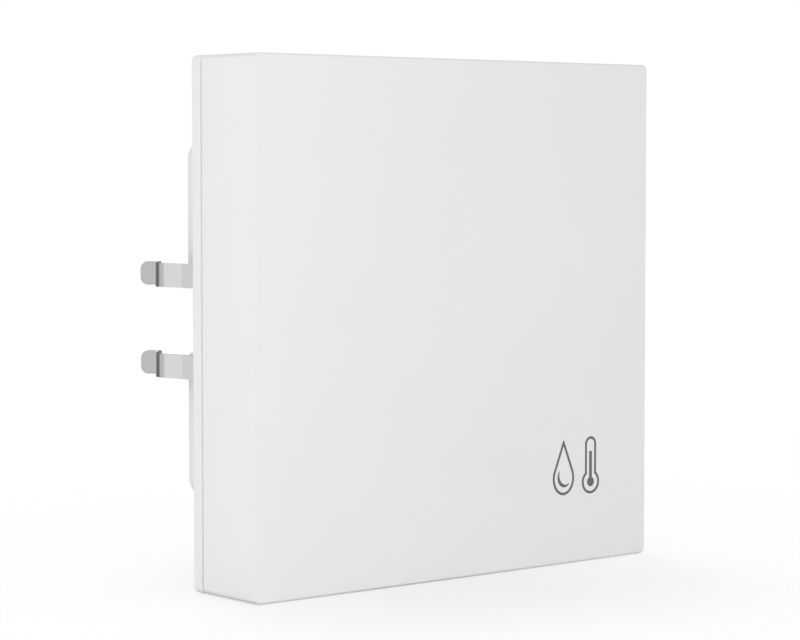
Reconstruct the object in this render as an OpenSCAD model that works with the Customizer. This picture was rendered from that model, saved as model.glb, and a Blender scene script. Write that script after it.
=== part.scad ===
// Square wall sensor for room temperature and humidity.
// X points right along the front, Y points into the wall, Z points up. The origin is the
// centre of the wall plane, where the rear rim meets the wall.

/* [Front cover] */
// Width and height of the square front
face_size = 86; // [80:0.5:92]
// Depth of the sensor in front of the wall
body_depth = 16.6; // [16:0.1:22]
// Thickness of the front wall
face_wall = 2.2; // [1.6:0.1:2.8]
// Thickness of the cover's four side walls
side_wall = 2; // [1.4:0.1:2.6]
// Radius of the four corners seen from the front
corner_r = 1; // [0.8:0.1:2]
// Round along the edge of the front face
front_round = 0.4; // [0.3:0.1:0.7]
// Round along the cover's rear edge and the rim's two edges
edge_round = 0.2; // [0.1:0.05:0.4]
// Number of air slots in the bottom wall, and again in the top wall
vent_count = 13; // [5:2:15]
// Distance between neighbouring air slots
vent_pitch = 4.4; // [3:0.1:4.8]
// Width of an air slot
vent_w = 1.4; // [0.8:0.1:2]
// Length of an air slot along the depth
vent_l = 4.5; // [3:0.1:5]
// Height of the stiffening ribs behind the front wall
rib_h = 1.2; // [0.6:0.1:2]
// Thickness of the stiffening ribs
rib_t = 1; // [0.8:0.1:1.4]

/* [Rear base] */
// Thickness of the rim that shows behind the cover
rim_t = 2.2; // [2:0.1:3]
// Width of the shadow gap between the cover and the rim
seam_gap = 0.4; // [0.3:0.05:0.9]
// Depth of the shadow gap, down to the ledge that carries the cover
seam_depth = 0.45; // [0.3:0.05:0.8]
// Clearance between the ledge and the cover
ledge_gap = 0.05; // [0.03:0.01:0.1]
// Width of the rim's seat on the wall
rim_w = 2.6; // [2:0.1:4]
// Depth of the recess that takes a metal wall frame
frame_recess = 1.6; // [1:0.1:1.8]
// Thickness of the base plate
plate_t = 2; // [1.8:0.1:2.4]
// Height of the lip that the cover slides over
lip_h = 3.6; // [3:0.1:4.2]
// Thickness of the lip
lip_t = 1.2; // [0.9:0.1:1.6]
// Clearance between the lip and the cover
lip_gap = 0.2; // [0.1:0.05:0.3]
// Radius of the snap beads on the lip
bead_r = 0.4; // [0.3:0.05:0.5]
// Length of a snap bead
bead_l = 14; // [8:1:20]
// Distance of each bead's middle from the middle of its side
bead_offset = 22; // [15:1:28]
// Clearance round a snap bead in its groove
bead_gap = 0.1; // [0.05:0.01:0.15]

/* [Rear box] */
// Width and height of the box that goes into the wall
box_size = 60; // [57:0.5:62]
// Depth of the box behind the wall plane
box_depth = 19.7; // [18:0.1:24]
// Wall thickness of the box
box_wall = 1.8; // [1.4:0.1:2.2]
// Radius of the box's corners
box_r = 3; // [2.5:0.1:5]
// Round along the box's rear edge
box_round = 0.5; // [0.3:0.1:1.2]
// How far the box sits below the middle of the cover
box_drop = 0.4; // [0:0.1:1]
// Width of the notch for a wall box's screw lug
notch_w = 11.4; // [10:0.1:13]
// Depth of the notch into the box
notch_depth = 5; // [4:0.1:6]
// Radius of the notch's corners
notch_r = 1; // [0.5:0.1:1.5]
// Distance between the wall box's two screws
lug_spacing = 60.3; // [59:0.1:61]
// Radius of the relief for a screw head
head_r = 4.6; // [3.5:0.1:4.8]
// Depth of the relief in front of the wall recess
head_depth = 3.2; // [2.5:0.1:4]
// Wall round the relief
head_wall = 1.2; // [0.9:0.1:1.4]

/* [Spring clips] */
// Height of one spring finger
strip_w = 4; // [3:0.1:4.6]
// Thickness of the spring sheet
strip_t = 0.4; // [0.3:0.05:0.5]
// Distance between the two fingers of a clip
strip_pitch = 15.2; // [14.5:0.1:17]
// Distance of a clip's outer face from the side of the front
clip_inset = 8.4; // [7.8:0.1:8.8]
// Width of the foot inside the base
foot_w = 3.4; // [3:0.1:3.6]
// Clearance between a clip's bend and the nose it rocks on
nose_gap = 0.3; // [0.2:0.05:0.4]
// Clearance beside a finger in its slot
slot_side_gap = 0.3; // [0.2:0.05:0.5]
// Room for a finger to bend inwards in its slot
slot_room = 0.9; // [0.6:0.1:1.2]
// Straight length of a finger before it flares
finger_run = 17.3; // [15:0.1:18]
// Outward flare before the knee
flare_angle = 10; // [6:1:14]
// Length of the flare
flare_run = 4.5; // [3.4:0.1:6]
// Inward slope behind the knee
ramp_angle = 43; // [38:1:46]
// Length of the slope
ramp_run = 4; // [3.4:0.1:6]
// Outward turn of the end lip
lip_angle = 52; // [45:1:58]
// Length of the end lip
tip_run = 2.3; // [2:0.1:3.5]
// Radius of the end lip's corners
tip_r = 1.3; // [0.8:0.1:1.5]
// Inner radius of the knee's bend
knee_r = 3.5; // [1:0.1:4]
// Inner radius of the other bends in a finger
bend_r = 0.9; // [0.6:0.1:1.2]

/* [Boards] */
// Gap between the front board and the cover's walls
board_gap = 3; // [2.5:0.1:4]
// Thickness of the front board
front_board_t = 1.2; // [1:0.1:1.6]
// Radius of the front board's corners
front_board_r = 1.5; // [1:0.1:2]
// Height of the posts under the front board
post_h = 5.4; // [5:0.1:5.8]
// Radius of the posts
post_r = 2.9; // [2.6:0.1:3.2]
// Distance of a post's middle from the front board's edges
post_inset = 5.5; // [5:0.1:6]
// Gap between the rear board and the box
rear_board_gap = 0.5; // [0.3:0.05:0.8]
// Thickness of the rear board
rear_board_t = 1.6; // [1.2:0.1:2]
// Height of the posts that carry the rear board
rear_post_h = 9.5; // [8.8:0.1:9.8]
// Distance of a rear post's middle from the rear board's edges
rear_post_inset = 4.5; // [4.2:0.1:5]
// Radius of the screws' shanks
screw_r = 0.9; // [0.7:0.05:1]
// Length of the screws' shanks below the head
screw_l = 5; // [4:0.1:5.4]
// Radius of the screws' heads
screw_head_r = 2; // [1.7:0.1:2.3]
// Height of the screws' heads
screw_head_h = 1.3; // [1:0.1:1.5]
// Width of the crossed slots in the screws' heads
screw_slot_w = 0.5; // [0.4:0.05:0.6]
// Clearance round a screw in its post
screw_gap = 0.05; // [0.03:0.01:0.1]
// Room below a screw in its post
screw_end_gap = 0.6; // [0.3:0.1:0.8]
// Clearance round a screw in a board
board_hole_gap = 0.3; // [0.2:0.05:0.5]

/* [Sensor] */
// Distance of the sensing chip from the screw beside it
sensor_off = 13; // [12.6:0.1:16]
// Distance of the chip's middle from the board's lower edge
sensor_rise = 4.5; // [4:0.1:5.5]
// Width of the chip
sensor_w = 3; // [2:0.1:3.5]
// Height of the chip
sensor_h = 1; // [0.8:0.1:1.3]
// Radius of the sensing window
sensor_window_r = 0.6; // [0.4:0.05:0.8]
// Width of the board tongue that carries the chip
tongue_w = 9; // [8:0.1:10]
// Length of the board tongue
tongue_l = 9; // [8.5:0.1:10]
// Width of the slots that part the tongue from the board
tongue_slot = 1.6; // [1.2:0.1:2]
// Thickness of the foam wall round the chip
seal_t = 2.2; // [1.6:0.1:2.6]
// Clearance between the foam and the tongue's slots
seal_gap = 0.4; // [0.3:0.05:0.6]

/* [Board parts] */
// Distance of the parts' columns from the middle of the boards
column_x = 10; // [9:0.5:12]
// Width of the controller chip
chip_w = 7; // [5:0.1:8]
// Height of the controller chip
chip_h = 1; // [0.8:0.1:1.2]
// Distance of the controller above the middle of its board
chip_z = 8; // [7:0.5:12]
// Radius of the round mark on the controller
mark_r = 0.4; // [0.3:0.05:0.5]
// Distance of the mark from the controller's edges
mark_inset = 1.2; // [0.8:0.1:1.6]
// Depth of the mark
mark_depth = 0.2; // [0.1:0.05:0.4]
// Length of a small resistor or capacitor
passive_l = 1.6; // [1:0.1:2]
// Width of a small resistor or capacitor
passive_w = 0.9; // [0.5:0.05:1.2]
// Height of a small resistor or capacitor
passive_h = 0.6; // [0.4:0.05:0.8]
// Distance between neighbouring small parts
passive_pitch = 2.4; // [1.8:0.1:3]
// Gap between the controller and the rows of small parts
passive_gap = 2.2; // [1.5:0.1:3]
// Pitch of the pins between the boards
plug_pitch = 2.54; // [2:0.02:2.6]
// Radius of the pins between the boards
plug_pin_r = 0.35; // [0.3:0.05:0.4]
// Clearance round such a pin in the socket
plug_pin_gap = 0.2; // [0.1:0.05:0.25]
// Distance of the plug below the middle of the boards
plug_drop = 10; // [8:0.5:12]
// Length of the socket behind the front board
socket_l = 8.5; // [7:0.1:9]
// Length of the pins inside the socket
plug_bite = 3; // [2.5:0.1:4]
// Thickness of the pin strip on the rear board
plug_base_t = 2.5; // [2:0.1:3]
// Length of the bus chip
bus_chip_l = 5; // [4.5:0.1:6]
// Width of the bus chip between its legs
bus_chip_w = 4; // [3.5:0.1:4.5]
// Height of the bus chip
bus_chip_h = 1.5; // [1.2:0.1:1.8]
// Distance of the bus chip below the middle of its board
bus_chip_drop = 4; // [3:0.5:6]
// Pitch of the bus chip's legs
leg_pitch = 1.27; // [1:0.01:1.3]
// Width of a leg
leg_w = 0.4; // [0.3:0.05:0.5]
// Length of a leg beside the chip
leg_l = 0.9; // [0.6:0.1:1.2]
// Thickness of a leg
leg_t = 0.5; // [0.3:0.05:0.6]
// Width of the coil's foot
coil_w = 7; // [6:0.1:8]
// Height of the coil
coil_h = 4.2; // [3.5:0.1:5]
// Radius of the coil's winding
coil_r = 2.6; // [2.2:0.1:2.8]
// Thickness of the coil's flanges
coil_flange_t = 1; // [0.7:0.1:1.2]
// Distance of the coil above the middle of its board
coil_z = 8; // [6:0.5:8]
// Radius of the two capacitor cans
can_r = 3.15; // [2.5:0.05:3.3]
// Height of the two capacitor cans
can_h = 7.7; // [5.4:0.1:8]
// Thickness of the square feet under the cans, and radius of their corners
can_foot_t = 1; // [0.8:0.1:1.4]
// How far a foot stands out beside its can
can_foot_edge = 0.15; // [0.1:0.05:0.3]
// Distance between the two cans
can_pitch = 8; // [7:0.1:9]
// Distance of the cans from the rear board's upper edge
can_drop = 9.7; // [8:0.1:10]
// Width of the clock crystal
crystal_w = 4.6; // [4:0.1:5]
// Length of the clock crystal
crystal_l = 11; // [9:0.1:11.4]
// Height of the clock crystal
crystal_h = 3.5; // [3:0.1:4]
// Distance of the crystal above the middle of its board
crystal_z = 4; // [3:0.5:8]

/* [Bus terminal] */
// Width of one half of the plug-in terminal
terminal_w = 5.75; // [5.5:0.05:6]
// Height of the terminal
terminal_h = 10; // [9:0.1:11]
// Length of the terminal along its plugging direction
terminal_l = 11.6; // [11:0.1:12.5]
// Radius of the contact pins
pin_r = 0.5; // [0.4:0.05:0.55]
// Clearance round a pin in the terminal
pin_gap = 0.3; // [0.25:0.05:0.4]
// Length of the pins beyond their carrier
pin_l = 6; // [5:0.1:7]
// Radius of the wire holes
wire_r = 0.6; // [0.5:0.05:0.75]
// Depth of the wire holes
wire_depth = 8; // [6:0.1:9]
// Thickness of the pin carrier
carrier_t = 2.5; // [2:0.1:3]
// Clearance round the terminal in the rear wall
terminal_gap = 0.35; // [0.3:0.05:0.5]
// Distance of the terminal below the middle of the box
terminal_drop = 13; // [10:0.5:15]

/* [Programming button] */
// Radius of the button's stem
button_r = 1.75; // [1.4:0.05:2]
// Radius of the button's flange
button_flange_r = 2.6; // [2.4:0.1:3]
// Clearance round the button in the rear wall
button_gap = 0.3; // [0.25:0.05:0.4]
// Travel of the button
button_travel = 0.5; // [0.3:0.05:0.6]
// Distance of the button from the middle of the box
button_x = 14; // [12:0.5:15]
// Width of the switch under the button
switch_w = 6; // [5.5:0.1:7]
// Height of the switch under the button
switch_h = 3.8; // [3:0.1:4.2]
// Radius of the light guide
guide_r = 1.5; // [1.2:0.05:1.8]
// Distance between the button and the light guide
guide_pitch = 9; // [8:0.1:10]
// Thickness of the flanges on the button, the light and the light guide
flange_t = 1; // [0.8:0.1:1.2]
// Width of the flange round the light and its guide
flange_w = 0.6; // [0.4:0.1:0.8]
// Height of the light behind the rear board
light_h = 3.4; // [3:0.1:4]

/* [Hidden] */
$fn = 48;

plastic_white = [0.93, 0.93, 0.93];
spring_steel = [0.74, 0.74, 0.75];
board_green = [0.1, 0.36, 0.22];
chip_black = [0.1, 0.1, 0.11];
metal_grey = [0.66, 0.66, 0.68];

// Depths along Y
front_y = -body_depth;
face_in_y = front_y + face_wall;
seam_y = -(rim_t + seam_gap);
plate_rear_y = -frame_recess;
plate_front_y = plate_rear_y - plate_t;
lip_front_y = plate_front_y - lip_h;
front_board_rear_y = plate_front_y - post_h;
front_board_front_y = front_board_rear_y - front_board_t;
back_in_y = box_depth - box_wall;
rear_board_rear_y = back_in_y - rear_post_h;
rear_board_front_y = rear_board_rear_y - rear_board_t;

// Widths across X and Z
cover_in = face_size - 2 * side_wall;
lip_out = cover_in - 2 * lip_gap;
lip_in = lip_out - 2 * lip_t;
front_board_w = cover_in - 2 * board_gap;
post_at = front_board_w / 2 - post_inset;
box_in = box_size - 2 * box_wall;
rear_board_w = box_in - 2 * rear_board_gap;
rear_post_at = rear_board_w / 2 - rear_post_inset;
inner_r = 0.5;
lug_x = lug_spacing / 2;
vent_y = (lip_front_y + face_in_y) / 2;

// Spring clip, seen from above
nose_r = plate_t / 2;
root_r = nose_r + nose_gap;
root_x = face_size / 2 - clip_inset + root_r;
root_y = (plate_front_y + plate_rear_y) / 2;
foot_y = root_y - root_r;
slot_w = nose_gap + strip_t + slot_room;
keeper_t = 1.2;
keeper_gap = 0.3;

sensor_x = post_at - sensor_off;
sensor_z = -front_board_w / 2 + sensor_rise;
terminal_front_y = rear_board_rear_y + carrier_t;
switch_rear_y = rear_board_rear_y + switch_h;
guide_front_y = rear_board_rear_y + light_h;
// Overlaps that join the pieces of one solid; lap is that of a strip's straight and bend
eps = 0.02;
lap = 0.06;

// A flat outline in X and Z, made solid between two depths
module along_y(y0, y1) {
    translate([0, y1, 0]) rotate([90, 0, 0]) linear_extrude(y1 - y0) children();
}

// A round bar along Y
module rod_y(r, y0, y1) {
    translate([0, y0, 0]) rotate([-90, 0, 0]) cylinder(r = r, h = y1 - y0);
}

module rounded_square(w, h, r) {
    square([w - 2 * r, h], center = true);
    square([w, h - 2 * r], center = true);
    for (sx = [-1, 1], sz = [-1, 1])
        translate([sx * (w / 2 - r), sz * (h / 2 - r)]) circle(r);
}

module box_place() { translate([0, 0, -box_drop]) children(); }

module at_corners(d) {
    for (sx = [-1, 1], sz = [-1, 1]) translate([sx * d, 0, sz * d]) children();
}

// Half a side view of a slab from y = 0 to depth, with both outer edges rounded
module edge_profile(w, depth, front_edge, rear_edge) {
    translate([0, rear_edge]) square([w, depth - rear_edge - front_edge]);
    translate([0, rear_edge]) square([w - front_edge, depth - rear_edge]);
    square([w - rear_edge, depth - front_edge]);
    intersection() {
        union() {
            translate([w - front_edge, depth - front_edge]) circle(front_edge);
            translate([w - rear_edge, rear_edge]) circle(rear_edge);
        }
        square([w, depth]);
    }
}

// Square slab with rounded corners and edges, from y = 0 forwards
module filleted_slab(w, depth, r, front_edge, rear_edge) {
    core = w / 2 - r;
    for (turn = [0, 90]) rotate([0, turn, 0])
        translate([0, 0, -core]) linear_extrude(2 * core) for (s = [0, 1]) mirror([s, 0])
            mirror([0, 1]) edge_profile(w / 2, depth, front_edge, rear_edge);
    at_corners(core) rotate([90, 0, 0]) rotate_extrude()
        edge_profile(r, depth, front_edge, rear_edge);
}

// Row of slots with round ends through a wall that lies across Z
module vent_row() {
    for (i = [0 : vent_count - 1])
        translate([(i - (vent_count - 1) / 2) * vent_pitch, vent_y, 0])
            linear_extrude(4 * side_wall, center = true) {
                square([vent_w, vent_l - vent_w], center = true);
                for (s = [-1, 1]) translate([0, s * (vent_l - vent_w) / 2]) circle(vent_w / 2);
            }
}

// The snap beads' places on all four sides of the lip
module bead_bars(r, l) {
    for (turn = [0 : 90 : 270], s = [-1, 1]) rotate([0, turn, 0])
        translate([s * bead_offset, (lip_front_y + plate_front_y) / 2, lip_out / 2])
            rotate([0, 90, 0]) cylinder(r = r, h = l, center = true);
}

module front_cover() {
    color(plastic_white) difference() {
        union() {
            difference() {
                translate([0, seam_y, 0])
                    filleted_slab(face_size, body_depth + seam_y, corner_r, front_round, edge_round);
                along_y(face_in_y, 0) rounded_square(cover_in, cover_in, inner_r);
            }
            for (turn = [0, 90], s = [-1, 1]) rotate([0, turn, 0])
                translate([0, 0, s * face_size / 6])
                    along_y(face_in_y - eps, face_in_y + rib_h)
                        square([cover_in + eps, rib_t], center = true);
        }
        for (s = [-1, 1]) translate([0, 0, s * (face_size - side_wall) / 2]) vent_row();
        bead_bars(bead_r + bead_gap, bead_l + 2 * bead_gap);
        seal_pocket();
    }
}

// Room for the foam wall where a rib crosses it
module seal_pocket() {
    sensor_place() along_y(face_in_y, face_in_y + 2 * rib_h)
        square([tongue_w + 2 * (tongue_slot + seal_gap + seal_t), 2 * tongue_l], center = true);
}

// The two notches for a wall box's screw lugs, or the walls round them
module notch_pair(wall) {
    for (s = [-1, 1]) mirror([(1 - s) / 2, 0]) translate([box_size / 2, 0])
        notch_outline(notch_depth + wall, notch_w + 2 * wall, wall);
}

// One notch, cut in from x = 0, with a rounded mouth on the outside of the box
module notch_outline(depth, width, wall) {
    translate([notch_r, 0]) rounded_square(2 * (depth + notch_r), width, notch_r);
    if (wall == 0) for (s = [-1, 1]) mirror([0, (1 - s) / 2])
        translate([0, width / 2]) difference() {
            translate([-notch_r, -eps]) square([2 * notch_r, notch_r + eps]);
            translate([-notch_r, notch_r]) circle(notch_r);
        }
}

// Outline of the box's inside, or of what fits in it
module box_inside(inset) {
    difference() {
        rounded_square(box_size - 2 * inset, box_size - 2 * inset, box_r - inset);
        notch_pair(inset);
    }
}

// The places of the four fingers' roots; the children have their inside towards -X
module at_fingers() {
    for (sx = [-1, 1], sz = [-1, 1]) mirror([(1 - sx) / 2, 0, 0])
        translate([root_x, 0, sz * strip_pitch / 2]) children();
}

module rear_base() {
    slot_h = strip_w + 2 * slot_side_gap;
    color(plastic_white) difference() {
        union() {
            difference() {
                union() {
                    filleted_slab(face_size, rim_t, corner_r, edge_round, edge_round);
                    along_y(seam_y + ledge_gap, -rim_t / 2)
                        rounded_square(face_size - 2 * seam_depth, face_size - 2 * seam_depth, inner_r);
                    along_y(plate_front_y, -rim_t / 2)
                        rounded_square(lip_out, lip_out, inner_r);
                    along_y(lip_front_y, plate_front_y + eps) difference() {
                        rounded_square(lip_out, lip_out, inner_r);
                        square(lip_in, center = true);
                    }
                    bead_bars(bead_r, bead_l);
                }
                along_y(plate_rear_y, eps)
                    rounded_square(face_size - 2 * rim_w, face_size - 2 * rim_w, inner_r);
            }
            box_place() difference() {
                translate([0, box_depth, 0])
                    filleted_slab(box_size, box_depth - root_y, box_r, box_round, box_round);
                along_y(plate_rear_y, box_depth + eps) notch_pair(0);
            }
            box_place() for (s = [-1, 1]) translate([s * lug_x, 0, 0])
                rod_y(head_r + head_wall, plate_rear_y - head_depth - head_wall, plate_rear_y);
            at_corners(post_at) rod_y(post_r, front_board_rear_y, plate_front_y + eps);
        }
        box_place() along_y(lip_front_y - head_depth, back_in_y) box_inside(box_wall);
        box_place() for (s = [-1, 1]) translate([s * lug_x, 0, 0])
            rod_y(head_r, plate_rear_y - head_depth, plate_rear_y + eps);
        at_corners(post_at) screw_hole(front_board_front_y);
        box_place() at_fingers() translate([-slot_w - nose_r, plate_front_y - eps, -slot_h / 2])
            cube([slot_w + nose_r, plate_t + 2 * eps, slot_h]);
        box_place() rear_wall_cuts();
    }
    color(plastic_white) box_place() {
        at_fingers() translate([0, root_y, 0]) cylinder(r = nose_r, h = slot_h, center = true);
        at_fingers() clip_keeper();
        at_corners(rear_post_at) difference() {
            rod_y(post_r, rear_board_rear_y, back_in_y + eps);
            screw_hole(rear_board_front_y);
        }
    }
}

// Blind hole for a screw whose head sits at head_y
module screw_hole(head_y) {
    rod_y(screw_r + screw_gap, head_y, head_y + screw_l + screw_end_gap);
}

// Hook that stands on the plate and reaches over the edge of a clip's foot
module clip_keeper() {
    reach = foot_w + keeper_gap;
    top_y = foot_y - strip_t - keeper_gap;
    translate([reach, top_y - keeper_t, -strip_w / 2])
        cube([keeper_t, plate_front_y - top_y + keeper_t + eps, strip_w]);
    translate([reach - keeper_t, top_y - keeper_t, -strip_w / 2])
        cube([keeper_t + eps, keeper_t, strip_w]);
}

module terminal_place() { translate([0, 0, -terminal_drop]) children(); }
module button_place() { translate([button_x, 0, -terminal_drop]) children(); }
module guide_place() { translate([button_x, 0, -terminal_drop + guide_pitch]) children(); }

module rear_wall_cuts() {
    terminal_place() along_y(back_in_y - eps, box_depth + eps)
        square([2 * (terminal_w + terminal_gap), terminal_h + 2 * terminal_gap], center = true);
    button_place() rod_y(button_r + button_gap, back_in_y - eps, box_depth + eps);
    guide_place() rod_y(guide_r + screw_gap, back_in_y - eps, box_depth + eps);
}

// Bend in a strip that runs along +Y with its outer face at x = 0; a positive turn goes
// outwards to -X. The children go on from its end. The strip's flat outline is drawn if $drawn.
module strip_bend(turn, r) {
    side = turn > 0 ? 1 : -1;
    centre_x = turn > 0 ? -r : strip_t + r;
    reach = 2 * (r + strip_t);
    translate([centre_x, 0, 0]) {
        if ($drawn) intersection() {
            difference() {
                circle(r + strip_t);
                circle(r);
            }
            polygon([
                [0, 0], [side * reach, 0], [side * reach, reach * tan(abs(turn) / 2)],
                reach * [side * cos(turn), abs(sin(turn))]
            ]);
        }
        rotate(turn) translate([-centre_x, 0, 0]) children();
    }
}

module strip_straight(run) {
    if ($drawn) translate([0, -lap]) square([strip_t, run + lap]);
    translate([0, run, 0]) children();
}

// One finger: through the plate, a flare to the knee, a slope inwards and an outward lip
module finger_path() {
    strip_straight(finger_run) strip_bend(flare_angle, bend_r) strip_straight(flare_run)
        strip_bend(-flare_angle - ramp_angle, knee_r) strip_straight(ramp_run)
            strip_bend(ramp_angle + lip_angle, bend_r) strip_straight(tip_run - tip_r) children();
}

// Round end of the lip
module strip_tip() {
    translate([strip_t, 0, 0]) rotate([0, -90, 0]) linear_extrude(strip_t) {
        translate([tip_r - strip_w / 2, -eps]) square([strip_w - 2 * tip_r, tip_r + eps]);
        for (s = [-1, 1]) translate([s * (strip_w / 2 - tip_r), 0]) intersection() {
            circle(tip_r);
            translate([-tip_r, -eps]) square(2 * tip_r);
        }
    }
}

// Flat outline of the quarter turn round the nose of the base plate
module root_bend() {
    translate([-root_r, 0]) intersection() {
        difference() {
            circle(root_r + strip_t);
            circle(root_r);
        }
        translate([0, -2 * root_r]) square(2 * root_r);
    }
}

module spring_finger() {
    linear_extrude(strip_w, center = true) {
        root_bend();
        finger_path($drawn = true);
    }
    finger_path($drawn = false) strip_tip();
}

// Left clip; its outside faces -X. The foot and the bends keep clear of the screw relief.
module spring_clip() {
    foot_h = strip_pitch + strip_w;
    color(spring_steel) box_place() translate([-root_x, root_y, 0]) difference() {
        union() {
            for (s = [-1, 1]) translate([root_r, 0, s * strip_pitch / 2]) spring_finger();
            translate([-foot_w, -root_r - strip_t, -foot_h / 2])
                cube([foot_w + eps, strip_t, foot_h]);
        }
        translate([root_x - lug_x, 0, 0])
            rod_y(head_r + head_wall + nose_gap, -2 * (root_r + strip_t), 0);
    }
}

module left_spring_clip() { spring_clip(); }
module right_spring_clip() { mirror([1, 0, 0]) spring_clip(); }

module sensor_place() { translate([sensor_x, 0, sensor_z]) children(); }

// Board with holes for its screws and a slotted tongue that keeps the chip cool
module front_board() {
    slot_top = tongue_l - sensor_rise;
    color(board_green) along_y(front_board_front_y, front_board_rear_y) difference() {
        rounded_square(front_board_w, front_board_w, front_board_r);
        for (sx = [-1, 1], sz = [-1, 1]) translate([sx * post_at, sz * post_at])
            circle(screw_r + board_hole_gap);
        translate([sensor_x, sensor_z]) {
            for (s = [-1, 1]) translate([s * (tongue_w + tongue_slot) / 2, slot_top - tongue_l / 2])
                square([tongue_slot, tongue_l], center = true);
            for (s = [-1, 1]) translate([s * (tongue_w / 4 + tongue_slot), slot_top])
                square([tongue_w / 2, tongue_slot], center = true);
        }
    }
}

module rear_board() {
    color(board_green) box_place() along_y(rear_board_front_y, rear_board_rear_y) difference() {
        box_inside(box_wall + rear_board_gap);
        for (sx = [-1, 1], sz = [-1, 1]) translate([sx * rear_post_at, sz * rear_post_at])
            circle(screw_r + board_hole_gap);
    }
}

// Pan-head screw, head forwards, with its seat at y = 0
module board_screw() {
    difference() {
        union() {
            rod_y(screw_head_r, -screw_head_h, 0);
            rod_y(screw_r, -eps, screw_l);
        }
        for (turn = [0, 90]) rotate([0, turn, 0])
            translate([0, -screw_head_h, 0]) cube([2 * screw_r, screw_head_h, screw_slot_w], center = true);
    }
}

module board_screws() {
    color(metal_grey) {
        at_corners(post_at) translate([0, front_board_front_y, 0]) board_screw();
        box_place() at_corners(rear_post_at) translate([0, rear_board_front_y, 0]) board_screw();
    }
}

module humidity_sensor() {
    color(chip_black) sensor_place() difference() {
        along_y(front_board_front_y - sensor_h, front_board_front_y) square(sensor_w, center = true);
        rod_y(sensor_window_r, front_board_front_y - 2 * sensor_h, front_board_front_y - sensor_h / 2);
    }
}

// Foam wall on three sides of the chip, open towards the air slots below
module sensor_seal() {
    inside = tongue_w + 2 * (tongue_slot + seal_gap);
    rise = tongue_l - sensor_rise + tongue_slot + seal_gap;
    color([0.25, 0.25, 0.27]) sensor_place() along_y(face_in_y, front_board_front_y) difference() {
        translate([-inside / 2 - seal_t, -sensor_rise])
            square([inside + 2 * seal_t, sensor_rise + rise + seal_t]);
        translate([-inside / 2, -2 * sensor_rise]) square([inside, 2 * sensor_rise + rise]);
    }
}

// Flat chip on the front board with a round mark at its first corner
module microcontroller() {
    mark_at = chip_w / 2 - mark_inset;
    color(chip_black) translate([-column_x, 0, chip_z]) difference() {
        along_y(front_board_front_y - chip_h, front_board_front_y) square(chip_w, center = true);
        translate([-mark_at, 0, mark_at])
            rod_y(mark_r, front_board_front_y - 2 * chip_h, front_board_front_y - chip_h + mark_depth);
    }
}

// Small resistors and capacitors in two rows beside the controller
module chip_passives() {
    row_z = (chip_w + passive_l) / 2 + passive_gap;
    color([0.72, 0.64, 0.5]) translate([-column_x, 0, chip_z]) for (i = [-2.5 : 2.5], s = [-1, 1])
        translate([i * passive_pitch, 0, s * row_z])
            along_y(front_board_front_y - passive_h, front_board_front_y)
                square([passive_w, passive_l], center = true);
}

module plug_place() { translate([-column_x, 0, -plug_drop]) children(); }

module plug_pins() {
    for (ix = [-1 : 1], iz = [-0.5, 0.5]) translate([ix * plug_pitch, 0, iz * plug_pitch]) children();
}

module plug_body(y0, y1) {
    along_y(y0, y1) square([3 * plug_pitch, 2 * plug_pitch], center = true);
}

// Socket strip behind the front board
module board_socket() {
    socket_end_y = front_board_rear_y + socket_l;
    color(chip_black) plug_place() difference() {
        plug_body(front_board_rear_y, socket_end_y);
        plug_pins() rod_y(plug_pin_r + plug_pin_gap, socket_end_y - 2 * plug_bite, socket_end_y + eps);
    }
}

// Pin strip in front of the rear board; its pins reach into the socket
module board_header() {
    pin_end_y = front_board_rear_y + socket_l - plug_bite;
    color(chip_black) plug_place() {
        plug_body(rear_board_front_y - plug_base_t, rear_board_front_y);
        plug_pins() rod_y(plug_pin_r, pin_end_y, rear_board_front_y - eps);
    }
}

// Chip with a row of legs on each long side
module bus_transceiver() {
    color(chip_black) box_place() translate([column_x, 0, -bus_chip_drop]) {
        along_y(rear_board_front_y - bus_chip_h, rear_board_front_y - leg_t / 4)
            square([bus_chip_l, bus_chip_w], center = true);
        for (i = [-1.5 : 1.5]) translate([i * leg_pitch, 0, 0])
            along_y(rear_board_front_y - leg_t, rear_board_front_y)
                square([leg_w, bus_chip_w + 2 * leg_l], center = true);
    }
}

// Drum coil on a square foot
module power_inductor() {
    color([0.22, 0.22, 0.24]) box_place() translate([column_x, 0, coil_z]) {
        along_y(rear_board_front_y - coil_flange_t, rear_board_front_y)
            rounded_square(coil_w, coil_w, coil_flange_t);
        rod_y(coil_r, rear_board_front_y - coil_h + eps, rear_board_front_y - eps);
        rod_y(coil_w / 2, rear_board_front_y - coil_h, rear_board_front_y - coil_h + coil_flange_t);
    }
}

// Two upright cans on square feet
module storage_capacitors() {
    can_foot_w = 2 * (can_r + can_foot_edge);
    color(metal_grey) box_place() for (s = [-1, 1])
        translate([(column_x + s * can_pitch) / 2, 0, rear_board_w / 2 - can_drop]) {
            along_y(rear_board_front_y - can_foot_t, rear_board_front_y)
                rounded_square(can_foot_w, can_foot_w, can_foot_t);
            rod_y(can_r, rear_board_front_y - can_h, rear_board_front_y - eps);
        }
}

module clock_crystal() {
    color(metal_grey) box_place() translate([-column_x, 0, crystal_z])
        along_y(rear_board_front_y - crystal_h, rear_board_front_y) {
            square([crystal_l - crystal_w, crystal_w], center = true);
            for (s = [-1, 1]) translate([s * (crystal_l - crystal_w) / 2, 0]) circle(crystal_w / 2);
        }
}

module terminal_pins() {
    color(metal_grey) box_place() terminal_place() {
        along_y(rear_board_rear_y, terminal_front_y) square([2 * terminal_w, terminal_h / 2], center = true);
        for (s = [-1, 1]) translate([s * terminal_w / 2, 0, 0])
            rod_y(pin_r, terminal_front_y - eps, terminal_front_y + pin_l);
    }
}

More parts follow.
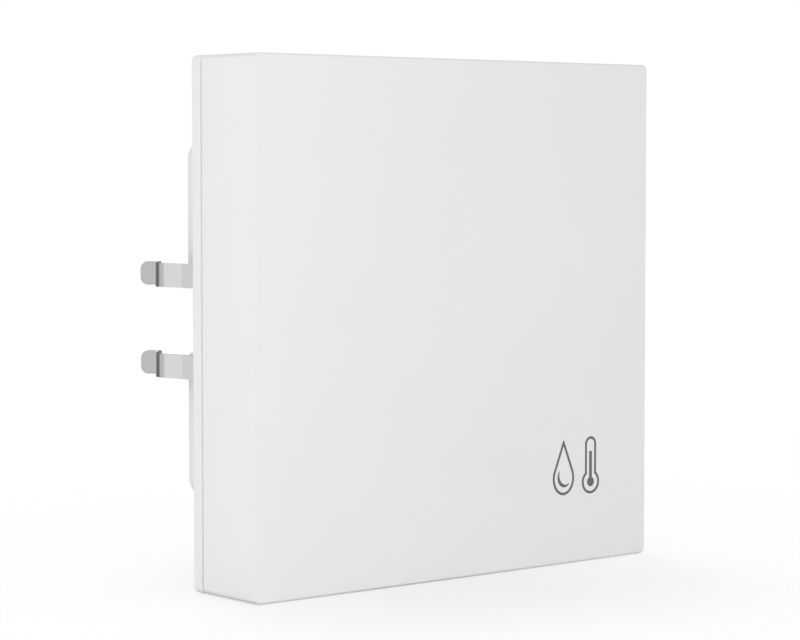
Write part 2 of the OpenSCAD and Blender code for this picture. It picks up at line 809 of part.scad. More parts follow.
// One half of the plug-in terminal: a pin hole in front, four wire holes behind
module terminal_half(side) {
    rear_y = terminal_front_y + terminal_l;
    box_place() terminal_place() translate([side * terminal_w / 2, 0, 0]) difference() {
        along_y(terminal_front_y, rear_y) square([terminal_w, terminal_h], center = true);
        rod_y(pin_r + pin_gap, terminal_front_y - eps, terminal_front_y + pin_l + pin_gap);
        for (sx = [-1, 1], sz = [-1, 1]) translate([sx * terminal_w / 4, 0, sz * terminal_h / 4])
            rod_y(wire_r, rear_y - wire_depth, rear_y + eps);
    }
}

module bus_terminal_plus() { color([0.7, 0.1, 0.1]) terminal_half(1); }
module bus_terminal_minus() { color([0.16, 0.16, 0.18]) terminal_half(-1); }

// Switch with a well that guides the foot of the button
module button_switch() {
    color(chip_black) box_place() button_place() difference() {
        along_y(rear_board_rear_y, switch_rear_y) square(switch_w, center = true);
        rod_y(button_r + button_gap, switch_rear_y - 3 * button_travel, switch_rear_y + eps);
    }
}

module programming_button() {
    flange_y = back_in_y - button_gap;
    color([0.85, 0.85, 0.85]) box_place() button_place() {
        rod_y(button_r, switch_rear_y - button_travel, box_depth);
        rod_y(button_flange_r, flange_y - flange_t, flange_y);
    }
}

module programming_led() {
    color([0.75, 0.15, 0.12]) box_place() guide_place() {
        rod_y(guide_r + flange_w, rear_board_rear_y, rear_board_rear_y + flange_t);
        rod_y(guide_r, rear_board_rear_y + eps, guide_front_y);
    }
}

module light_guide() {
    color([0.9, 0.9, 0.92]) box_place() guide_place() {
        rod_y(guide_r, guide_front_y, box_depth);
        rod_y(guide_r + flange_w, back_in_y - flange_t, back_in_y);
    }
}

front_cover();
rear_base();
left_spring_clip();
right_spring_clip();
front_board();
rear_board();
board_screws();
humidity_sensor();
sensor_seal();
microcontroller();
chip_passives();
board_socket();
board_header();
bus_transceiver();
power_inductor();
storage_capacitors();
clock_crystal();
terminal_pins();
bus_terminal_plus();
bus_terminal_minus();
button_switch();
programming_button();
programming_led();
light_guide();
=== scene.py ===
# %% [markdown]
# # A wall sensor for temperature and humidity
# The real object is a flat white box that two steel springs hold in a frame in the wall. Its
# solids come packed from the CAD model, in metres: X runs right along the front, Y into the wall
# and Z up. They could be modelled once more here, but then two models would have to agree, so
# they are taken as they are and nothing of them is moved. This lesson gives every solid a
# finish, prints two signs on the front, and sets up the camera, the floor and the light.

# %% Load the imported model
import math

import bpy
import numpy as np
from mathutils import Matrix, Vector


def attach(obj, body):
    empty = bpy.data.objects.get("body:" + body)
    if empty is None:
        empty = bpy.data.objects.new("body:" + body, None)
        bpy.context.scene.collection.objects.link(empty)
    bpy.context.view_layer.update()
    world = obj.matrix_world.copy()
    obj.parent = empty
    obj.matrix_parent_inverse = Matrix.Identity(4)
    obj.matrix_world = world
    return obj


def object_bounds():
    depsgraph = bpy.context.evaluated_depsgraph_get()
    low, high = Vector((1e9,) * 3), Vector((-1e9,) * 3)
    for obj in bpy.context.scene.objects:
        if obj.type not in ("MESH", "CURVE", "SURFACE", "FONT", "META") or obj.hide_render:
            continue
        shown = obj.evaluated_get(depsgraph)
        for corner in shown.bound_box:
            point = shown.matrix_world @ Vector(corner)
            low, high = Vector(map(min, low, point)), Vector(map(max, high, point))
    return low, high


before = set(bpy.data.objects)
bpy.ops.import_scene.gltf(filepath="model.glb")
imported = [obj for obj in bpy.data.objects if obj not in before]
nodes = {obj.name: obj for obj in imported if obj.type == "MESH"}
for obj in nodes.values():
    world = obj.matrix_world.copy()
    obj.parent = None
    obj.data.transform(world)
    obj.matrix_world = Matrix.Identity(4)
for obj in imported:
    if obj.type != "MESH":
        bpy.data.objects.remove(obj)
cad_low, cad_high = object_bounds()
scene = bpy.context.scene
MM = 0.001
print("solids:", len(nodes), "box from", tuple(cad_low), "to", tuple(cad_high))

# %% [markdown]
# ## The camera
# A camera can be pushed about by eye until the picture looks right. This one was worked out: the
# sensor's front is a square, so the slant of its edges fixes the turn, the tilt and the focal
# length, and nothing is left to guess. It stands at the front left, a little above the middle,
# and looks slightly down. A shifted lens would make the uprights exactly parallel, but the shift
# would stay in every other view and push the sensor aside there, so none is used. The Standard
# view keeps a colour in the picture as it is written in its finish.

# %% Camera
EYE = (-286.80, -341.02, 26.24)  # millimetres
TURN = math.radians(40.0966)
TILT = math.radians(3.4746)
LENS, FILM_WIDTH = 117.88, 36  # millimetres
NEAREST, FURTHEST = 0.01, 20  # metres

camera = bpy.data.objects.new("camera", bpy.data.cameras.new("camera"))
scene.collection.objects.link(camera)
camera.location = Vector(EYE) * MM
ahead = Vector((math.sin(TURN) * math.cos(TILT), math.cos(TURN) * math.cos(TILT), -math.sin(TILT)))
camera.rotation_euler = ahead.to_track_quat("-Z", "Y").to_euler()
camera.data.lens = LENS
camera.data.sensor_width = FILM_WIDTH
camera.data.clip_start = NEAREST
camera.data.clip_end = FURTHEST
scene.camera = camera
scene.view_settings.view_transform = "Standard"
print("camera", round(camera.location.length, 3), "m from the middle of the wall plane")

# %% [markdown]
# ## Starting a finish
# Plastic, metal and lacquer differ in colour, sheen and grain. A picture wrapped round each solid
# could show that, but it has to be unwrapped and turns coarse up close. A tree of nodes works the
# finish out at every point instead, at any distance. These helpers start a tree, add a node to
# it and lead a result to the shader, so that each recipe below stays short. A value that is the
# same all over the surface is set on the shader's own socket.


# %% Trees of nodes
def new_finish(name, **constants):
    """A material with one Principled shader; the constants go on the shader's own sockets."""
    material = bpy.data.materials.new(name)
    material.use_nodes = True
    tree = material.node_tree
    shader = tree.nodes["Principled BSDF"]
    for socket, value in constants.items():
        shader.inputs[socket.replace("_", " ")].default_value = value
    return material, tree, shader


def add(tree, kind, settings=None, **inputs):
    """One node. Settings are its properties. Inputs are its sockets, linked or set, and are
    called by name, or by number as i0, i1 and so on."""
    made = tree.nodes.new(kind)
    for key, value in (settings or {}).items():
        setattr(made, key, value)
    for key, value in inputs.items():
        socket = made.inputs[int(key[1:]) if key[1:].isdigit() else key]
        if isinstance(value, bpy.types.NodeSocket):
            tree.links.new(value, socket)
        else:
            socket.default_value = value
    return made


def steer(tree, shader, **outputs):
    """Leads worked-out values to the shader's sockets, such as Base_Color or Roughness."""
    for socket, output in outputs.items():
        tree.links.new(output, shader.inputs[socket.replace("_", " ")])


print("finishes to make for", len(nodes), "solids")

# %% [markdown]
# ## Patterns in the solid
# Real surfaces are never quite even: the pigment is cloudy, the sheen varies and the skin has a
# grain. Noise gives all of that. It could lie on an unwrapped skin, but here it stands in the
# solid's own Object coordinates, so it needs no unwrapping, has marks of a real size in
# millimetres and moves with the piece.


# %% Patterns
def place(tree):
    """The Object coordinates of the shaded point, in metres."""
    return add(tree, "ShaderNodeTexCoord").outputs["Object"]


def grain(tree, size, detail=2.0, stretch=(1, 1, 1)):
    """Noise from 0 to 1 whose marks are about size millimetres wide, stretched along the axes."""
    scale = tuple(1 / (size * MM * longer) for longer in stretch)
    mapped = add(tree, "ShaderNodeMapping", Vector=place(tree), Scale=scale).outputs[0]
    return add(tree, "ShaderNodeTexNoise", Vector=mapped, Scale=1.0, Detail=detail).outputs[0]


def compute(tree, operation, a, b=0.0, c=0.0):
    """One step of arithmetic on numbers or outputs."""
    return add(tree, "ShaderNodeMath", {"operation": operation}, i0=a, i1=b, i2=c).outputs[0]


def between(tree, amount, low, high, start=0.3, end=0.7):
    """A number that goes from low to high as amount goes from start to end, and stays there."""
    return add(tree, "ShaderNodeMapRange", i0=amount, i1=start, i2=end, i3=low, i4=high).outputs[0]


print("marks of 1 mm need a noise scale of", round(1 / MM), "per metre")

# %% [markdown]
# ## Colour and relief
# A pattern is only a number, and it has to become a colour or a height. A colour ramp could do
# the first, but a mix of two named colours is easier to read and to change. The height could move
# the mesh itself, which takes millions of faces for a grain of a tenth of a millimetre. A bump
# only tilts the normal, and that is all that shows of marks a few thousandths of a millimetre
# deep. Each solid is all of one stuff, so its finish is the only one on it.

# %% Colour and relief
BUMP_STRENGTH = 0.5


def tint(tree, amount, first, second):
    """A colour between two, by an amount from 0 to 1. Each is a colour or an output with one."""
    pair = [c if isinstance(c, bpy.types.NodeSocket) else (*c, 1) for c in (first, second)]
    made = add(tree, "ShaderNodeMix", {"data_type": "RGBA"}, Factor=amount, i6=pair[0], i7=pair[1])
    return made.outputs[2]


def relief(tree, shader, height, depth, strength=BUMP_STRENGTH):
    """Bump of about depth millimetres on the shader's normal."""
    made = add(tree, "ShaderNodeBump", Height=height, Distance=depth * MM, Strength=strength)
    steer(tree, shader, Normal=made.outputs[0])


def paint(material, *names):
    """Puts one finish on whole CAD solids."""
    for name in names:
        nodes[name].data.materials.clear()
        nodes[name].data.materials.append(material)
    print(material.name, "on", ", ".join(names))


print("bumps at", BUMP_STRENGTH, "of their full strength")

# %% [markdown]
# ## White satin plastic
# The cover and the base are moulded in a neutral white. The mould is finely eroded, so the
# plastic has a soft sheen and no mirror image. One colour and one roughness would do from afar
# but look like paper up close. So three noises are used: a broad one for the slight clouding of
# the pigment, a middle one for the sheen and a fine one for the eroded grain. The rounded edges
# get a painted shade and a little more roughness, so that the lamp at the left draws no light
# line along them; the shade is strongest on the cover's thin edges. No mask has to be drawn:
# on a flat face one part of the normal is 1, and on a round edge no part comes near 1.

# %% White plastic
ROUND_NORMAL, FLAT_NORMAL = 0.75, 0.99  # largest part of the normal
CLOUD_SIZE, CLOUD_SHADE = 22, 0.988
SHEEN_SIZE, SHEEN_SPREAD, EDGE_DULLNESS = 1.6, 0.04, 0.12
ERODED_SIZE, ERODED_DEPTH = 0.28, 0.004
PLASTIC_IOR = 1.5


def white_plastic(name, shade, sheen, edge_painted_shade):
    """shade is the pigment's grey, sheen the mean roughness, and edge_painted_shade the part of the
    grey that is left on the rounded edges, as a painted shade."""
    material, tree, shader = new_finish(name, IOR=PLASTIC_IOR)
    normal = add(tree, "ShaderNodeTexCoord").outputs["Normal"]
    parts = add(tree, "ShaderNodeSeparateXYZ", i0=normal).outputs
    across, inward, upward = (compute(tree, "ABSOLUTE", part) for part in parts)
    largest = compute(tree, "MAXIMUM", across, compute(tree, "MAXIMUM", inward, upward))
    # Painted shade: this mask of the rounded edges darkens their colour and makes them rougher.
    edge = between(tree, largest, 1, 0, ROUND_NORMAL, FLAT_NORMAL)
    clouds = between(tree, grain(tree, CLOUD_SIZE), 0, 1)
    pigment = tint(tree, clouds, (shade * CLOUD_SHADE,) * 3, (shade,) * 3)
    uneven = grain(tree, SHEEN_SIZE, detail=3)
    rough = between(tree, uneven, sheen - SHEEN_SPREAD, sheen + SHEEN_SPREAD)
    steer(
        tree, shader,
        Base_Color=tint(tree, edge, pigment, (shade * edge_painted_shade,) * 3),
        Roughness=compute(tree, "MULTIPLY_ADD", edge, EDGE_DULLNESS, rough),
    )
    relief(tree, shader, grain(tree, ERODED_SIZE, detail=3), ERODED_DEPTH)
    return material


# Painted shade on the rounded edges, darker on the cover than on the base.
paint(white_plastic("cover_white", shade=0.825, sheen=0.46, edge_painted_shade=0.89), "front_cover")
paint(white_plastic("base_white", shade=0.825, sheen=0.42, edge_painted_shade=0.94), "rear_base")

# %% [markdown]
# ## Rolled spring steel
# The clips are punched from bright rolled strip and given a bend. A bright metal with one
# roughness would look like chrome plate. Rolling leaves fine streaks along the strip, so the
# noise is long along Y. The punched edges face up and down: there the metal is torn, darker and
# rougher, which the Z part of the normal picks out. Round the knee a band between two depths gets
# a painted shade that stands for the dark reflection of the bend, so it needs no mask either.

# %% Spring steel
STREAK_SIZE, STREAK_LENGTH, STREAK_DEPTH = 0.16, 60, 0.0005
STEEL_LOW, STEEL_HIGH = (0.725, 0.725, 0.72), (0.755, 0.755, 0.75)
# The first colour on the next line is a painted shade for the dark reflection round the knee.
STEEL_KNEE_PAINTED_SHADE, STEEL_TORN = (0.53, 0.53, 0.525), (0.46, 0.46, 0.46)
STEEL_ROUGH, TORN_ROUGHER = (0.14, 0.19), 0.2
TORN_NORMAL = (0.5, 0.8)
# Depths in Y where the painted shade round the knee fades in and out.
BEND_START, BEND_END = (18.75 * MM, 19.15 * MM), (22.4 * MM, 22.8 * MM)


def rolled_steel():
    """Streaked bright strip, with dark rough punched edges and a painted shade at the bend that
    stands for its dark reflection.
    """
    material, tree, shader = new_finish("spring_steel", Metallic=1.0)
    streaks = grain(tree, STREAK_SIZE, detail=3, stretch=(1, STREAK_LENGTH, 1))
    normal = add(tree, "ShaderNodeTexCoord").outputs["Normal"]
    upward = compute(tree, "ABSOLUTE", add(tree, "ShaderNodeSeparateXYZ", i0=normal).outputs[2])
    torn = between(tree, upward, 0, 1, *TORN_NORMAL)
    depth = add(tree, "ShaderNodeSeparateXYZ", i0=place(tree)).outputs[1]
    after_start = between(tree, depth, 0, 1, *BEND_START)
    # Painted shade: a band between two depths round the knee, for its dark reflection.
    knee_painted_shade = compute(tree, "MULTIPLY", after_start, between(tree, depth, 1, 0, *BEND_END))
    bright = tint(tree, between(tree, streaks, 0, 1), STEEL_LOW, STEEL_HIGH)
    rough = between(tree, streaks, *STEEL_ROUGH)
    steer(
        tree, shader,
        Base_Color=tint(tree, torn, tint(tree, knee_painted_shade, bright, STEEL_KNEE_PAINTED_SHADE), STEEL_TORN),
        Roughness=compute(tree, "MULTIPLY_ADD", torn, TORN_ROUGHER, rough),
    )
    relief(tree, shader, streaks, STREAK_DEPTH, strength=0.2)
    return material


paint(rolled_steel(), "left_spring_clip", "right_spring_clip")

# %% [markdown]
# ## Plated steel and aluminium
# The screws, the crystal's can and the pins are plated, and the cans of the capacitors are drawn
# from aluminium. Both are grey metals with a cloudy skin. Scratches would be too coarse for parts
# of a few millimetres, so one cloud noise steers colour and roughness together: where the skin is
# paler it is also smoother.

# %% Plated and drawn metal
GRAIN_FINER, METAL_DEPTH = 6, 0.003


def cloudy_metal(name, dark, light, rough, clouds):
    """dark and light are the skin's colours, rough its two roughnesses, clouds their size in mm."""
    material, tree, shader = new_finish(name, Metallic=1.0)
    cloud = grain(tree, clouds, detail=3)
    steer(
        tree, shader,
        Base_Color=tint(tree, between(tree, cloud, 0, 1), dark, light),
        Roughness=between(tree, cloud, *rough),
    )
    relief(tree, shader, grain(tree, clouds / GRAIN_FINER), METAL_DEPTH, strength=0.4)
    return material


plated_steel = cloudy_metal(
    "plated_steel", dark=(0.5, 0.5, 0.52), light=(0.66, 0.66, 0.68), rough=(0.4, 0.25), clouds=0.8)
paint(plated_steel, "board_screws", "clock_crystal", "terminal_pins")
can_aluminium = cloudy_metal(
    "can_aluminium", dark=(0.62, 0.62, 0.64), light=(0.72, 0.72, 0.74), rough=(0.32, 0.2), clouds=2.0)
paint(can_aluminium, "storage_capacitors")

# %% [markdown]
# ## Circuit boards
# The boards are glass cloth under green lacquer, and the weave shows faintly through it. A picture
# of cloth could be tiled over them. Two crossed sine waves give the same relief at the cloth's
# real pitch, without a seam, and steer colour and bump together.

# %% Boards
THREAD_PITCH, WEAVE_DEPTH = 0.5, 0.004
LACQUER_LOW, LACQUER_HIGH = (0.022, 0.13, 0.068), (0.035, 0.18, 0.095)


def circuit_board():
    """Weave: sin x times sin z across the cloth, with one period for each THREAD_PITCH."""
    material, tree, shader = new_finish("circuit_board", Roughness=0.32, IOR=PLASTIC_IOR)
    parts = add(tree, "ShaderNodeSeparateXYZ", i0=place(tree)).outputs
    turns = 2 * math.pi / (THREAD_PITCH * MM)
    across, upward = (compute(tree, "MULTIPLY", parts[axis], turns) for axis in (0, 2))
    waves = compute(tree, "SINE", across), compute(tree, "SINE", upward)
    weave = compute(tree, "MULTIPLY", *waves)
    lacquer = tint(tree, between(tree, weave, 0, 1, -1, 1), LACQUER_LOW, LACQUER_HIGH)
    steer(tree, shader, Base_Color=lacquer)
    relief(tree, shader, weave, WEAVE_DEPTH)
    return material


paint(circuit_board(), "front_board", "rear_board")

# %% [markdown]
# ## Chips, ferrite, ceramic and foam
# Chips and sockets are black epoxy with a fine sandy grain. The coil's ferrite is duller and
# coarser, the small parts are fired ceramic and the seal is open foam. Each could have a tree of
# its own, but they differ only in colour, sheen and size of grain, so one recipe serves them all.

# %% Dark and ceramic parts
SHEEN_COARSER = 5


def moulded(name, dark, light, rough, speck, depth, **constants):
    """A moulded or fired stuff: colours of the specks, roughness from and to, and the size and
    the depth of the grain in millimetres."""
    material, tree, shader = new_finish(name, **constants)
    specks = grain(tree, speck, detail=3)
    steer(
        tree, shader,
        Base_Color=tint(tree, between(tree, specks, 0, 1), dark, light),
        Roughness=between(tree, grain(tree, speck * SHEEN_COARSER), *rough),
    )
    relief(tree, shader, specks, depth)
    return material


chip_black = moulded(
    "chip_black", (0.018, 0.018, 0.018), (0.032, 0.032, 0.034), rough=(0.5, 0.62), speck=0.12, depth=0.004)
paint(chip_black, "humidity_sensor", "microcontroller", "board_socket", "board_header",
      "bus_transceiver", "button_switch")
ferrite = moulded(
    "ferrite", (0.03, 0.03, 0.03), (0.055, 0.055, 0.06), rough=(0.6, 0.75), speck=0.2, depth=0.01)
paint(ferrite, "power_inductor")
ceramic = moulded(
    "ceramic_tan", (0.36, 0.28, 0.18), (0.46, 0.37, 0.25), rough=(0.45, 0.6), speck=0.15, depth=0.003)
paint(ceramic, "chip_passives")
foam = moulded(
    "foam", (0.03, 0.03, 0.032), (0.075, 0.075, 0.08), rough=(0.85, 0.95), speck=0.5, depth=0.08)
paint(foam, "sensor_seal")

# %% [markdown]
# ## What shows at the back
# The bus terminal is a pair of glossy moulded blocks, red for plus and dark grey for minus. The
# programming button is light grey, and beside it ends the clear guide of the red light. Coloured
# plastic needs no new recipe: a lower roughness makes it glossy, and the guide also lets part of
# the light through, which is one value on its shader.

# %% Terminal, button and light
GLOSSY = (0.28, 0.38)
terminal_red = moulded(
    "terminal_red", (0.42, 0.016, 0.016), (0.5, 0.024, 0.02), rough=GLOSSY, speck=0.3, depth=0.003)
paint(terminal_red, "bus_terminal_plus")
terminal_dark = moulded(
    "terminal_dark", (0.03, 0.03, 0.034), (0.045, 0.045, 0.05), rough=GLOSSY, speck=0.3, depth=0.003)
paint(terminal_dark, "bus_terminal_minus")
button_grey = moulded(
    "button_grey", (0.58, 0.58, 0.58), (0.64, 0.64, 0.64), rough=(0.36, 0.46), speck=0.3, depth=0.004)
paint(button_grey, "programming_button")
led_red = moulded(
    "led_red", (0.45, 0.03, 0.025), (0.55, 0.05, 0.04), rough=(0.12, 0.2), speck=0.6, depth=0.002)
paint(led_red, "programming_led")
guide_clear = moulded(
    "guide_clear", (0.82, 0.83, 0.85), (0.88, 0.89, 0.9), rough=(0.1, 0.2), speck=0.8, depth=0.002,
    Transmission_Weight=0.6)
paint(guide_clear, "light_guide")

# %% [markdown]
# ## Ribbons of ink
# A water drop and a thermometer are printed in grey near the lower right corner. They could be a
# mask in the cover's finish, but a mask that is baked into a picture gets blurred edges. A print
# is a film of ink, so each line is a closed ribbon with a real, very small thickness: a flat
# profile carried along a path. Its faces point outwards when the first of its two lines is on
# the left hand of someone who follows the path, as seen from the front.

# %% Ribbons
INK_BACK, INK_FRONT = -16.59, -16.612  # depths in millimetres, just inside and outside the front


def new_piece(name, points, faces):
    """A mesh from an array of points in metres and a list of faces, put into the scene."""
    mesh = bpy.data.meshes.new(name)
    mesh.from_pydata(points.tolist(), [], faces)
    mesh.update()
    piece = bpy.data.objects.new(name, mesh)
    scene.collection.objects.link(piece)
    return piece


def ink_ribbon(name, left, right, closed):
    """The surface between two lines of points (x, z) in mm, with a film's thickness. Row i has
    left[i] and right[i] in front, then right[i] and left[i] behind, and joins the next row."""
    count = len(left)
    corners = [(left, INK_FRONT), (right, INK_FRONT), (right, INK_BACK), (left, INK_BACK)]
    points = np.stack([np.insert(line, 1, depth, axis=1) for line, depth in corners], axis=1)
    here = 4 * np.arange(count if closed else count - 1)[:, None]
    beyond = (here + 4) % (4 * count)
    side, next_side = np.arange(4), np.arange(1, 5) % 4
    quads = np.stack([here + side, here + next_side, beyond + next_side, beyond + side], axis=2)
    faces = quads.reshape(-1, 4).tolist()
    if not closed:
        faces += [[3, 2, 1, 0], list(range(4 * count - 4, 4 * count))]
    print(name, "points:", 4 * count, "faces:", len(faces))
    return new_piece(name, points.reshape(-1, 3) * MM, faces)


def arc(x, z, r, start, end, count):
    """Points of a circle's arc, with angles in degrees from the X axis, up to the Z axis at 90."""
    angle = np.radians(np.linspace(start, end, count))
    return np.column_stack([x + r * np.cos(angle), z + r * np.sin(angle)])


print("ink", round((INK_BACK - INK_FRONT) / MM), "micrometres thick")

# %% [markdown]
# ## The drop
# The drop is round at the bottom and straight towards its point. A curve with handles could be
# pulled into that shape by eye. An ellipse with its two tangents stays smooth where they touch,
# and four plain measures describe it: half its width, half its height, how far the sides lean
# and where the point is cut blunt. The same formula with an offset gives both sides of the line.

# %% Drop
STROKE = 0.45
DROP_AT, DROP_TOP = np.array([23.09, -28.20]), -21.65
DROP_WIDE, DROP_TALL, DROP_LEAN = 2.30, 2.71, math.radians(22.6)


def drop_line(offset):
    """The lower arc of an ellipse, closed by the two tangents that lean in by DROP_LEAN and meet
    at the point, which is cut at DROP_TOP. The offset grows both half axes."""
    half_axes = np.array([DROP_WIDE + offset, DROP_TALL + offset])
    reach = half_axes * (math.cos(DROP_LEAN), math.sin(DROP_LEAN))
    touch = math.degrees(math.atan2(reach[1], reach[0]))
    lower = DROP_AT + half_axes * arc(0, 0, 1, 180 - touch, 360 + touch, count=72)
    tip = DROP_AT + (0, np.hypot(*reach) / math.sin(DROP_LEAN))
    share = np.linspace(0, 1, 25)[1:, None]
    rise = lower[-1] + (tip - lower[-1]) * share
    fall = tip + (lower[0] - tip) * share[:-1]
    line = np.vstack([lower, rise, fall])
    line[:, 1] = np.minimum(line[:, 1], DROP_TOP)
    return line


drop = ink_ribbon("sign_drop", drop_line(-STROKE / 2), drop_line(STROKE / 2), closed=True)

# %% [markdown]
# ## The gleam in the drop
# A crescent stands for the light in the water. One ellipse could be cut out of another, which
# leaves long thin faces at the tips. A ribbon along an arc of an ellipse, whose thickness swells
# like a sine and fades to a thin tip, gives the same crescent with even faces.

# %% Gleam
GLEAM_AT, GLEAM_AXES = np.array([23.44, -27.88]), (1.53, 1.67)
GLEAM_FROM, GLEAM_TO = 141.7, 313.7  # degrees
GLEAM_THICK, GLEAM_FULLNESS, GLEAM_TIP = 0.6, 0.8, 0.06

outward = arc(0, 0, 1, GLEAM_FROM, GLEAM_TO, count=41)
swell = np.sin(np.linspace(0, np.pi, len(outward))) ** GLEAM_FULLNESS
reach_out = outward * GLEAM_THICK / 2 * np.maximum(swell, GLEAM_TIP)[:, None]
spine = GLEAM_AT + outward * GLEAM_AXES
gleam = ink_ribbon("sign_gleam", spine - reach_out, spine + reach_out, closed=False)

# %% [markdown]
# ## The thermometer
# The thermometer is a tube that runs into a round bulb. Two solids could be joined by a boolean,
# which leaves uneven faces. Here the line is two arcs: the tube's half circle on top and the
# bulb's circle from where the sides meet it. The straight sides come by themselves between them.

# %% Thermometer
TUBE_X, TUBE_TOP, TUBE_R = 29.54, -21.37, 1.10
BULB_Z, BULB_R = -29.27, 1.85


def tube_line(offset):
    """A half circle on top, straight sides, and the bulb's circle from the angle on each side
    whose sine is the tube's radius over the bulb's. The offset grows both radii."""
    tube, bulb = TUBE_R + offset, BULB_R + offset
    neck = math.degrees(math.asin(tube / bulb))
    crown = arc(TUBE_X, TUBE_TOP - STROKE / 2 - TUBE_R, tube, 0, 180, count=33)
    bowl = arc(TUBE_X, BULB_Z, bulb, 90 + neck, 450 - neck, count=65)
    return np.vstack([crown, bowl])


thermometer = ink_ribbon(
    "sign_thermometer", tube_line(-STROKE / 2), tube_line(STROKE / 2), closed=True)

# %% [markdown]
# ## The column in the thermometer
# Inside stands the column of liquid on its ball, printed solid. A filled outline could be one
# face with many corners, which renders and exports badly. So it is a ribbon too, from one side
# straight across to the other: one half of the outline is worked out and mirrored. The two ends
# are drawn apart by a hair, so that no face shrinks to nothing there.

# %% Column
COLUMN_R, COLUMN_TOP, COLUMN_CORNER = 0.32, -23.92, 0.12
BALL_R, HAIR = 0.81, (0.004, 0.0)

ball_neck = math.degrees(math.asin(COLUMN_R / BALL_R))
near_half = np.vstack([
    [[TUBE_X, COLUMN_TOP]],
    arc(TUBE_X - COLUMN_R + COLUMN_CORNER, COLUMN_TOP - COLUMN_CORNER, COLUMN_CORNER, 90, 180, count=7),
    arc(TUBE_X, BULB_Z, BALL_R, 90 + ball_neck, 270, count=25),
])
far_half = np.column_stack([2 * TUBE_X - near_half[:, 0], near_half[:, 1]])
near_half[[0, -1]] -= HAIR
far_half[[0, -1]] += HAIR
column = ink_ribbon("sign_column", far_half, near_half, closed=False)

# %% [markdown]
# ## Ink
# The ink is a flat dark grey. One even grey would look like a hole in the front, so it has tiny
# specks where the plastic's grain shows through, made by the recipe for moulded parts. All four
# ribbons ride on the body that carries the cover.

# %% Ink
ink = moulded(
    "ink_grey", (0.115, 0.115, 0.115), (0.14, 0.14, 0.14), rough=(0.5, 0.62), speck=0.12, depth=0.002)
for piece in (drop, gleam, thermometer, column):
    piece.data.materials.append(ink)
    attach(piece, "base")
    print("ink on", piece.name)

# %% [markdown]
# ## Floor
# The sensor stands on a plain white table. A square plane would do, but its corners show when it
# fades out. A disc of rings fades evenly to all sides, and its rings are finest in the middle,
# where the shadow lies. It is a tenth of a millimetre below the sensor, which draws the thin dark
# line that any case has where it stands on a table.

# %% Floor disc
FLOOR_R, FLOOR_HUB, FLOOR_GAP = 0.45, 0.02, 0.1 * MM


def floor_disc(rings=24, spokes=96):
    """Points r(u) * (cos v, sin v), where r grows as the square of u from FLOOR_HUB to 1, so the
    middle rings are fine. One face fills the hub."""
    r = FLOOR_R * np.linspace(FLOOR_HUB, 1, rings) ** 2
    v = np.linspace(0, 2 * np.pi, spokes, endpoint=False)
    x, y = np.outer(r, np.cos(v)).ravel(), np.outer(r, np.sin(v)).ravel()
    points = np.column_stack([x, y, np.full_like(x, cad_low.z - FLOOR_GAP)])
    ring, spoke = np.divmod(np.arange((rings - 1) * spokes), spokes)
    inner, outer, beside = ring * spokes, (ring + 1) * spokes, (spoke + 1) % spokes
    quads = np.column_stack([inner + spoke, outer + spoke, outer + beside, inner + beside])
    return new_piece("floor", points, quads.tolist() + [list(range(spokes))])


floor = floor_disc()
print("floor at z =", cad_low.z - FLOOR_GAP)

# %% [markdown]
# ## Paper that fades into white
# Under the sensor the floor is white paper, which takes a soft shadow. A brighter lamp could turn
# the rest of it white, but it would burn out the sensor too. Instead the paper turns clear
# further out for what the camera and mirrors see of it, so it fades into the white background
# without an edge. To all other light it stays paper and brightens the sensor from below.

# %% Floor paper
PAPER = (0.95, 0.95, 0.95, 1)
SHADE_AT = (0.008, 0.025, -cad_low.z)
SHADE_FADE = (0.34, 1.0, 0.012, 0.085)  # clear share from and to, at these distances in metres
RIM_FADE = (0.85, 1.0, 0.06, 0.2)

floor_paper = bpy.data.materials.new("floor_paper")
floor_paper.use_nodes = True
tree = floor_paper.node_tree
tree.nodes.clear()
paper = add(tree, "ShaderNodeBsdfDiffuse", Color=PAPER).outputs[0]
clear = add(tree, "ShaderNodeBsdfTransparent").outputs[0]
shade = add(tree, "ShaderNodeMapping", Vector=place(tree), Location=SHADE_AT).outputs[0]
far = add(tree, "ShaderNodeVectorMath", {"operation": "LENGTH"}, i0=shade).outputs["Value"]
fade = compute(tree, "MINIMUM", between(tree, far, *SHADE_FADE), between(tree, far, *RIM_FADE))
path = add(tree, "ShaderNodeLightPath").outputs
mirrored = compute(tree, "MAXIMUM", path["Is Glossy Ray"], path["Is Transmission Ray"])
seen = compute(tree, "MAXIMUM", path["Is Camera Ray"], mirrored)
faded = compute(tree, "MULTIPLY", fade, seen)
mix = add(tree, "ShaderNodeMixShader", i0=faded, i1=paper, i2=clear).outputs[0]
add(tree, "ShaderNodeOutputMaterial", Surface=mix)
floor.data.materials.append(floor_paper)
print("paper fades out", RIM_FADE[3], "m from the shadow's middle")

# %% [markdown]
# ## Sky
# A white sky lights everything evenly, as in a light tent, and what the camera sees of it is
# plain white. Bright metal needs something dark to show its shape, so a studio stands dark cards
# round it. Real cards would also shade the plastic, so these stand only in the mirror images of
# the sky: a dark one behind the sensor and a grey one at the front left.

# %% Sky
SKY = 0.80
DARK_CARD, GREY_CARD = (116, 52, 62), (-54, 15, 45)  # degrees
CARD_BLACK, CARD_GREY, CARD_WHITE = (0.24,) * 3, (0.675,) * 3, (0.915,) * 3
WHITE = (1, 1, 1, 1)

world = bpy.data.worlds.new("studio")
scene.world = world
world.use_nodes = True
tree = world.node_tree
tree.nodes.clear()
looks = add(tree, "ShaderNodeTexCoord").outputs["Generated"]


def card(degrees, core, edge):
    """1 in a card that stands degrees round from -X towards +Y, falling to 0 from the angle core
    to the angle edge off its middle."""
    a = math.radians(degrees)
    middle = (-math.cos(a), math.sin(a), 0)
    facing = add(tree, "ShaderNodeVectorMath", {"operation": "DOT_PRODUCT"}, i0=looks, i1=middle)
    outside, inside = (math.cos(math.radians(angle)) for angle in (edge, core))
    return between(tree, facing.outputs["Value"], 0, 1, outside, inside)


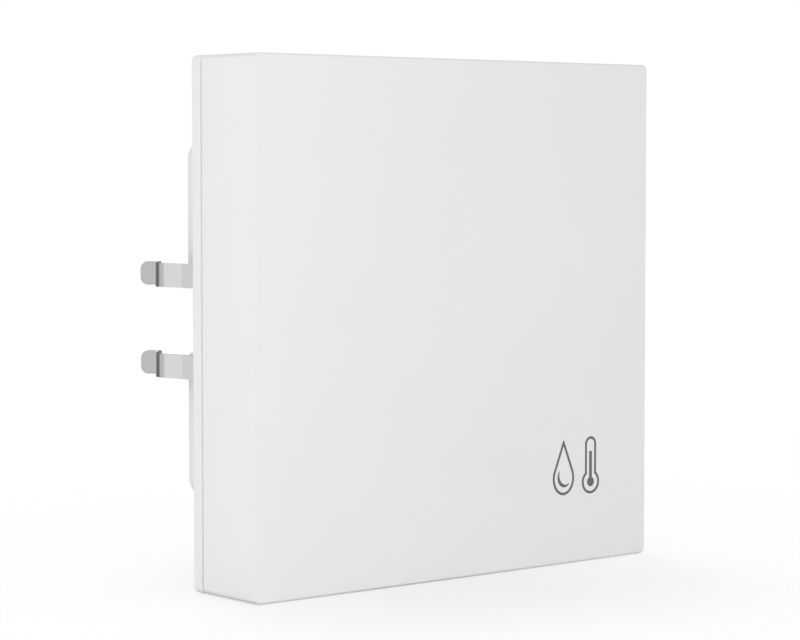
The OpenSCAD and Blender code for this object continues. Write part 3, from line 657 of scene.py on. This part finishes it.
mirror_sky = tint(
    tree, card(*DARK_CARD), tint(tree, card(*GREY_CARD), CARD_WHITE, CARD_GREY), CARD_BLACK)
in_mirror = add(tree, "ShaderNodeBackground", Color=mirror_sky, Strength=1.0).outputs[0]
on_camera = add(tree, "ShaderNodeBackground", Color=WHITE, Strength=1.0).outputs[0]
on_things = add(tree, "ShaderNodeBackground", Color=WHITE, Strength=SKY).outputs[0]
path = add(tree, "ShaderNodeLightPath").outputs
mirrored = compute(tree, "MAXIMUM", path["Is Glossy Ray"], path["Is Transmission Ray"])
lit = add(tree, "ShaderNodeMixShader", i0=mirrored, i1=on_things, i2=in_mirror).outputs[0]
full = add(tree, "ShaderNodeMixShader", i0=path["Is Camera Ray"], i1=lit, i2=on_camera).outputs[0]
add(tree, "ShaderNodeOutputWorld", Surface=full)
print("sky strength", SKY)

# %% [markdown]
# ## Soft boxes
# One large soft box hangs above and behind the sensor, so that the sensor shades the table in
# front of it. A small one at the left makes the side a little brighter than the front. Point
# lamps would throw hard shadows, so both are areas. They are kept out of the mirror images,
# because there they would draw a hard white line along each rounded edge.


# %% Soft boxes
def soft_light(name, spot, turned, size, watts):
    """An area lamp of size (width, depth) in metres that shines along its own turned -Z."""
    lamp = bpy.data.objects.new(name, bpy.data.lights.new(name, "AREA"))
    lamp.data.shape = "RECTANGLE"
    lamp.data.size, lamp.data.size_y = size
    lamp.data.energy = watts
    lamp.location = spot
    lamp.rotation_euler = turned
    lamp.visible_camera = False
    lamp.visible_glossy = False
    scene.collection.objects.link(lamp)
    print(name, "at", spot, watts, "W")


def aimed(spot):
    """The turn of a lamp at spot that looks at the middle of the wall plane."""
    return (-Vector(spot)).to_track_quat("-Z", "Y").to_euler()


BACK_SPOT, LEFT_SPOT = (0.1, 0.3, 0.6), (-0.22, -0.18, 0.07)
soft_light("soft_box_back", BACK_SPOT, aimed(BACK_SPOT), size=(0.3, 0.3), watts=0.75)
soft_light("soft_box_left", LEFT_SPOT, aimed(LEFT_SPOT), size=(0.16, 0.16), watts=0.165)

# %% [markdown]
# ## A glow from the table
# Close to the front the table lies in the sensor's own shade and throws little light back, so the
# lowest part of the front would turn grey. A brighter sky would lift all of it. A narrow weak
# panel that lies on the table in front of the sensor and faces up lifts only the lowest part.

# %% Table panel
PANEL_SPOT = (-0.010, -0.0258, cad_low.z + 0.1 * MM)
FACE_UP = (math.pi, 0, 0)
soft_light("table_panel", PANEL_SPOT, FACE_UP, size=(0.10, 0.018), watts=0.00037)
